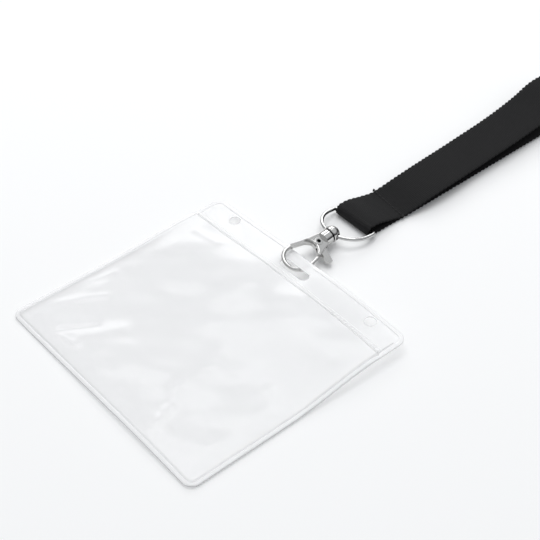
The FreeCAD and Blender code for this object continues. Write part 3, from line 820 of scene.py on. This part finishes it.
# %% Ribs of woven tape
def woven_ribs():
    """Plain weave of tape on the cloth UV map: weft ribs across, warp yarns along, and stray fibres."""
    group, source, sink = new_group("woven_ribs", [("Rib pitch", 0.9), ("Yarn pitch", 0.55)],
                                    ["Height", "Tone_with_painted_rib_shade"])
    uv = group.nodes.new("ShaderNodeUVMap")
    uv.uv_map = "cloth"
    parts = group.nodes.new("ShaderNodeSeparateXYZ")
    group.links.new(uv.outputs[0], parts.inputs[0])

    def wave(distance, pitch):
        """Sine of the distance over the pitch, in full turns."""
        turns = math_node(group, "DIVIDE", distance, source.outputs[pitch])
        return math_node(group, "SINE", math_node(group, "MULTIPLY", turns, 2 * math.pi))

    rib = wave(parts.outputs[1], "Rib pitch")
    yarn = wave(parts.outputs[0], "Yarn pitch")
    weave = math_node(group, "MULTIPLY", rib, yarn)
    rib_part = math_node(group, "MULTIPLY", rib, 0.35)
    fibre = group.nodes.new("ShaderNodeTexNoise")
    fibre.inputs["Scale"].default_value = 9.0
    fibre.inputs["Detail"].default_value = 4.0
    group.links.new(uv.outputs[0], fibre.inputs["Vector"])
    total = math_node(group, "ADD", math_node(group, "MULTIPLY", weave, 0.5), rib_part)
    total = math_node(group, "ADD", total, math_node(group, "MULTIPLY", fibre.outputs["Fac"], 0.5))
    group.links.new(total, sink.inputs["Height"])
    # Painted highlight and shade: the tone follows the rib and yarn height, so crowns are lighter and hollows
    # darker; the fibre noise in it is random tone.
    tone = math_node(group, "ADD", math_node(group, "MULTIPLY", total, 0.25), 0.5)
    group.links.new(tone, sink.inputs["Tone_with_painted_rib_shade"])
    return group


RIBS = woven_ribs()
print("group:", RIBS.name)

# %% [markdown]
# Soft vinyl is never quite even. One slow noise gives its mottle.

# %% Mottle of vinyl
def vinyl_mottle():
    """Slow unevenness of soft vinyl, a little distorted, on Object coordinates."""
    group, source, sink = new_group("vinyl_mottle", [("Scale", 60.0)], ["Height", "Mask"])
    coords = group.nodes.new("ShaderNodeTexCoord")
    slow = group.nodes.new("ShaderNodeTexNoise")
    slow.inputs["Detail"].default_value = 3.0
    slow.inputs["Distortion"].default_value = 0.6
    group.links.new(coords.outputs["Object"], slow.inputs["Vector"])
    group.links.new(source.outputs["Scale"], slow.inputs["Scale"])
    group.links.new(slow.outputs["Fac"], sink.inputs["Height"])
    group.links.new(slow.outputs["Fac"], sink.inputs["Mask"])
    return group


MOTTLE = vinyl_mottle()
print("group:", MOTTLE.name)

# %% [markdown]
# Each finish starts from the same few lines: a new material, its Principled shader, a group with its
# values, a Map Range for the roughness and a Bump node for the height.

# %% Building blocks for a finish
def start_material(name):
    """New material with its node tree and its Principled shader."""
    material = bpy.data.materials.new(name)
    material.use_nodes = True
    tree = material.node_tree
    shader = tree.nodes["Principled BSDF"]
    return material, tree, shader


def use_group(tree, group, **values):
    """A shared group inside a material, with its inputs set by name."""
    node = tree.nodes.new("ShaderNodeGroup")
    node.node_tree = group
    for label, value in values.items():
        node.inputs[label.replace("_", " ")].default_value = value
    return node


def spread(tree, value, low, high, shader_input, source_low=0.3, source_high=0.7):
    """Map a mask onto a range and plug it into a shader input."""
    node = tree.nodes.new("ShaderNodeMapRange")
    node.inputs["From Min"].default_value = source_low
    node.inputs["From Max"].default_value = source_high
    node.inputs["To Min"].default_value = low
    node.inputs["To Max"].default_value = high
    tree.links.new(value, node.inputs["Value"])
    if shader_input is not None:
        tree.links.new(node.outputs[0], shader_input)
    return node.outputs[0]


def two_tones(tree, mask, dark, light, shader_input):
    """Blend from the dark to the light colour by the mask."""
    node = tree.nodes.new("ShaderNodeMix")
    node.data_type = "RGBA"
    node.inputs[6].default_value = (*dark, 1)
    node.inputs[7].default_value = (*light, 1)
    tree.links.new(mask, node.inputs[0])
    tree.links.new(node.outputs[2], shader_input)


def bump(tree, height, distance, strength, shader):
    """Let a height tilt the shader's normal."""
    node = tree.nodes.new("ShaderNodeBump")
    node.inputs["Distance"].default_value = distance
    node.inputs["Strength"].default_value = strength
    tree.links.new(height, node.inputs["Height"])
    tree.links.new(node.outputs["Normal"], shader.inputs["Normal"])


print("finish helpers ready")

# %% [markdown]
# Nickel is bright metal with a faint speckle. The rivet is a tube, and inside its bore the metal is made
# dull and painted near black, as painted shade in the hole.

# %% Metal finishes
def nickel(name, rough, tint, grain, depth):
    """Polished nickel: full metal, faint grain in colour, roughness and bump."""
    material, tree, shader = start_material(name)
    group = use_group(tree, SPECKLE, Grain=grain)
    shader.inputs["Metallic"].default_value = 1.0
    dark = tuple(c * 0.93 for c in tint)
    two_tones(tree, group.outputs["Mask"], dark, tint, shader.inputs["Base Color"])
    spread(tree, group.outputs["Mask"], rough * 0.7, rough * 1.4, shader.inputs["Roughness"])
    bump(tree, group.outputs["Height"], 0.00002, depth, shader)
    return material


BORE_INSIDE, BORE_OUTSIDE = 0.00078, 0.00086    # metres from the rivet's axis, where the painted bore shade turns to bright metal


def rivet_with_painted_bore_shade(name, base):
    """The cast finish, with a dull bore painted near black as painted shade: a mask of the distance from
    the rivet's own axis, which is the length of the cross product of the axis with the way from its middle."""
    low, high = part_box("gate_rivet")
    middle = (np.array(low) + np.array(high)) / 2
    hinge = next(j for j in frame["record"]["behaviour"]["joints"] if j["name"] == "gate_swing")
    material = base.copy()
    material.name = name
    tree = material.node_tree
    shader = tree.nodes["Principled BSDF"]
    coords = tree.nodes.new("ShaderNodeTexCoord")
    away = tree.nodes.new("ShaderNodeVectorMath")
    away.operation = "SUBTRACT"
    away.inputs[1].default_value = tuple(middle)
    tree.links.new(coords.outputs["Object"], away.inputs[0])
    cross = tree.nodes.new("ShaderNodeVectorMath")
    cross.operation = "CROSS_PRODUCT"
    cross.inputs[1].default_value = tuple(hinge["axis"])
    tree.links.new(away.outputs[0], cross.inputs[0])
    length = tree.nodes.new("ShaderNodeVectorMath")
    length.operation = "LENGTH"
    tree.links.new(cross.outputs[0], length.inputs[0])
    outside = spread(tree, length.outputs["Value"], 0.0, 1.0, None, BORE_INSIDE, BORE_OUTSIDE)
    tone = shader.inputs["Base Color"].links[0].from_socket
    mix = tree.nodes.new("ShaderNodeMix")
    mix.data_type = "RGBA"
    # Painted shade: near-black colour inside the rivet's bore.
    mix.inputs[6].default_value = (0.012, 0.012, 0.013, 1)
    tree.links.new(outside, mix.inputs[0])
    tree.links.new(tone, mix.inputs[7])
    tree.links.new(mix.outputs[2], shader.inputs["Base Color"])
    tree.links.new(outside, shader.inputs["Metallic"])
    return material


NICKEL_CAST = nickel("nickel_cast", rough=0.10, tint=(0.64, 0.635, 0.625), grain=900.0, depth=0.12)
NICKEL_WIRE = nickel("nickel_wire", rough=0.10, tint=(0.62, 0.62, 0.615), grain=1400.0, depth=0.06)
NICKEL_RIVET = rivet_with_painted_bore_shade("nickel_rivet", NICKEL_CAST)
STEEL = nickel("spring_wire", rough=0.25, tint=(0.5, 0.5, 0.5), grain=2000.0, depth=0.1)
print("metal finishes:", NICKEL_CAST.name, NICKEL_WIRE.name, NICKEL_RIVET.name, STEEL.name)

# %% [markdown]
# Webbing, sewing thread and elastic are the same matte cloth with different ribs.

# %% Cloth finishes
def cloth(name, dark, light, rib, yarn, depth):
    """Matte woven tape: ribs in the bump, crowns painted slightly lighter and hollows darker as painted
    highlight and shade, a little sheen.
    """
    material, tree, shader = start_material(name)
    group = use_group(tree, RIBS, Rib_pitch=rib, Yarn_pitch=yarn)
    two_tones(tree, group.outputs["Tone_with_painted_rib_shade"], dark, light, shader.inputs["Base Color"])
    shader.inputs["Roughness"].default_value = 0.82
    shader.inputs["Sheen Weight"].default_value = 0.04
    shader.inputs["Sheen Roughness"].default_value = 0.4
    shader.inputs["Specular IOR Level"].default_value = 0.14
    bump(tree, group.outputs["Height"], depth, 0.8, shader)
    return material


WEBBING_BLACK = cloth("webbing_black", dark=(0.006, 0.006, 0.0065), light=(0.020, 0.020, 0.0205),
                      rib=0.75, yarn=0.5, depth=0.00012)
THREAD_BLACK = cloth("thread_black", dark=(0.018, 0.018, 0.019), light=(0.05, 0.05, 0.05),
                     rib=0.3, yarn=0.3, depth=0.00003)
BAND_BLACK = cloth("band_black", dark=(0.02, 0.02, 0.021), light=(0.045, 0.045, 0.047),
                   rib=1.2, yarn=0.8, depth=0.00012)
print("cloth finishes:", WEBBING_BLACK.name, THREAD_BLACK.name, BAND_BLACK.name)

# %% [markdown]
# Clear vinyl is cloudy: part of the light scatters back and the rest goes through. The welded rim and
# the raised lines are the same vinyl, thicker and brighter, and the thin line inside the rim is darker vinyl,
# as painted shade.

# %% Vinyl finishes
def see_through(tree, shader, facing_low, facing_high, shade):
    """Alpha for cloudy film: the eye sees a share that grows towards grazing angles, while the lamps'
    light is only dimmed by `shade`, because cloudy film passes most of it on, scattered."""
    weight = tree.nodes.new("ShaderNodeLayerWeight")
    weight.inputs["Blend"].default_value = 0.35
    seen = spread(tree, weight.outputs["Facing"], facing_low, facing_high, None, 0.15, 0.95)
    path = tree.nodes.new("ShaderNodeLightPath")
    choice = tree.nodes.new("ShaderNodeMix")
    choice.inputs[3].default_value = shade
    tree.links.new(path.outputs["Is Shadow Ray"], choice.inputs[0])
    tree.links.new(seen, choice.inputs[2])
    tree.links.new(choice.outputs[0], shader.inputs["Alpha"])


def vinyl(name, tint, facing_low, facing_high, shade, rough, scale, depth):
    """Soft vinyl: slightly cloudy, so a share of the light scatters back as pale grey, glossy on top,
    and the rest goes straight through."""
    material, tree, shader = start_material(name)
    group = use_group(tree, MOTTLE, Scale=scale)
    two_tones(tree, group.outputs["Mask"], tuple(c * 0.98 for c in tint), tint, shader.inputs["Base Color"])
    spread(tree, group.outputs["Mask"], rough * 0.8, rough * 1.3, shader.inputs["Roughness"])
    bump(tree, group.outputs["Height"], depth, 0.15, shader)
    shader.inputs["Coat Weight"].default_value = 0.25
    shader.inputs["Coat Roughness"].default_value = rough * 0.8
    see_through(tree, shader, facing_low, facing_high, shade)
    return material


VINYL = vinyl("vinyl_film", tint=(0.855, 0.855, 0.86), facing_low=0.34, facing_high=0.55, shade=0.06,
              rough=0.12, scale=70.0, depth=0.0005)
VINYL_RIM = vinyl("vinyl_rim", tint=(0.95, 0.95, 0.955), facing_low=0.60, facing_high=0.80, shade=0.3,
                  rough=0.2, scale=260.0, depth=0.0002)
VINYL_LINE = vinyl("vinyl_line", tint=(0.95, 0.95, 0.955), facing_low=0.50, facing_high=0.65, shade=0.05,
                   rough=0.2, scale=260.0, depth=0.0002)
# Painted shade: the thin line inside the rim is darker vinyl.
PAINTED_RIM_SHADE = vinyl("painted_rim_shade", tint=(0.60, 0.605, 0.61), facing_low=0.6, facing_high=0.7, shade=0.1,
                   rough=0.25, scale=260.0, depth=0.0002)
print("vinyl finishes:", VINYL.name, VINYL_RIM.name, VINYL_LINE.name, PAINTED_RIM_SHADE.name)

# %% [markdown]
# The metal parts arrive with a slot for their finish, which is filled. The new pieces get one here.

# %% Finish every piece
def coat_with(obj, material):
    """Put one material in all of the object's slots, or in a new one where it has none."""
    if obj.data.materials:
        for i in range(len(obj.data.materials)):
            obj.data.materials[i] = material
    else:
        obj.data.materials.append(material)


for node in ("hook_body", "gate", "swivel_eye"):
    coat_with(frame["nodes"][node], NICKEL_CAST)
coat_with(frame["nodes"]["gate_rivet"], NICKEL_RIVET)
coat_with(frame["nodes"]["d_ring"], NICKEL_WIRE)
coat_with(frame["nodes"]["gate_spring"], STEEL)
coat_with(webbing, WEBBING_BLACK)
coat_with(seam, THREAD_BLACK)
coat_with(tie, BAND_BLACK)
for piece in (film_front, film_back, film_header):
    coat_with(piece, VINYL)
coat_with(rim, VINYL_RIM)
for piece in [mouth, fused, ladder] + lips:
    coat_with(piece, VINYL_LINE)
coat_with(shade_line, PAINTED_RIM_SHADE)
print("materials:", len(bpy.data.materials))

# %% [markdown]
# ## Table, world and lamps
# The object lies on a white table that runs out of sight.

# %% Floor
TABLE_Z = -0.0001
TABLE_REACH = 3.0
floor_mesh = bpy.data.meshes.new("table")
floor_corners = [(x * TABLE_REACH, y * TABLE_REACH, TABLE_Z) for x, y in ((-1, -1), (1, -1), (1, 1), (-1, 1))]
floor_mesh.from_pydata(floor_corners, [], [(0, 1, 2, 3)])
floor = bpy.data.objects.new("table", floor_mesh)
bpy.context.scene.collection.objects.link(floor)
floor_material, _, floor_shader = start_material("table_white")
floor_shader.inputs["Base Color"].default_value = (0.93, 0.93, 0.93, 1)
floor_shader.inputs["Roughness"].default_value = 0.9
floor_shader.inputs["Specular IOR Level"].default_value = 0.1
floor_mesh.materials.append(floor_material)
print("table at", TABLE_Z)

# %% [markdown]
# The surround is dark near the horizon and bright overhead, so that the metal mirrors both. Two large soft
# lamps stand beyond the object to the left: a high one gives the light and the soft shadows, and a low
# one glances off the film and draws its bright creases.

# %% Surround and lamps
world = bpy.data.worlds.new("surround")
bpy.context.scene.world = world
world.use_nodes = True
tree = world.node_tree
direction = tree.nodes.new("ShaderNodeTexCoord")
height = tree.nodes.new("ShaderNodeSeparateXYZ")
tree.links.new(direction.outputs["Generated"], height.inputs[0])
sky = tree.nodes.new("ShaderNodeValToRGB")
sky.color_ramp.elements[0].position = 0.0
sky.color_ramp.elements[0].color = (0.03, 0.03, 0.032, 1)
sky.color_ramp.elements[1].position = 0.55
sky.color_ramp.elements[1].color = (0.96, 0.98, 1.0, 1)
horizon = sky.color_ramp.elements.new(0.22)
horizon.color = (0.10, 0.10, 0.11, 1)
tree.links.new(height.outputs[2], sky.inputs["Fac"])
tree.links.new(sky.outputs["Color"], tree.nodes["Background"].inputs["Color"])
tree.nodes["Background"].inputs["Strength"].default_value = 0.70


def soft_lamp(name, place, aim, size, power):
    """Rectangular area lamp at a place, turned towards its aim."""
    data = bpy.data.lights.new(name, "AREA")
    data.shape = "RECTANGLE"
    data.size, data.size_y = size
    data.energy = power
    lamp = bpy.data.objects.new(name, data)
    bpy.context.scene.collection.objects.link(lamp)
    lamp.location = place
    lamp.rotation_euler = (Vector(aim) - Vector(place)).to_track_quat("-Z", "Y").to_euler()
    return lamp


soft_lamp("key", (-0.34, 0.32, 1.2), (0, 0.08, 0), (1.0, 0.85), 6.6)
soft_lamp("low", (-1.07, 0.98, 0.72), (0, 0.08, 0), (1.4, 0.66), 8.0)
bpy.context.scene.view_settings.view_transform = "Standard"
print("lamps set")
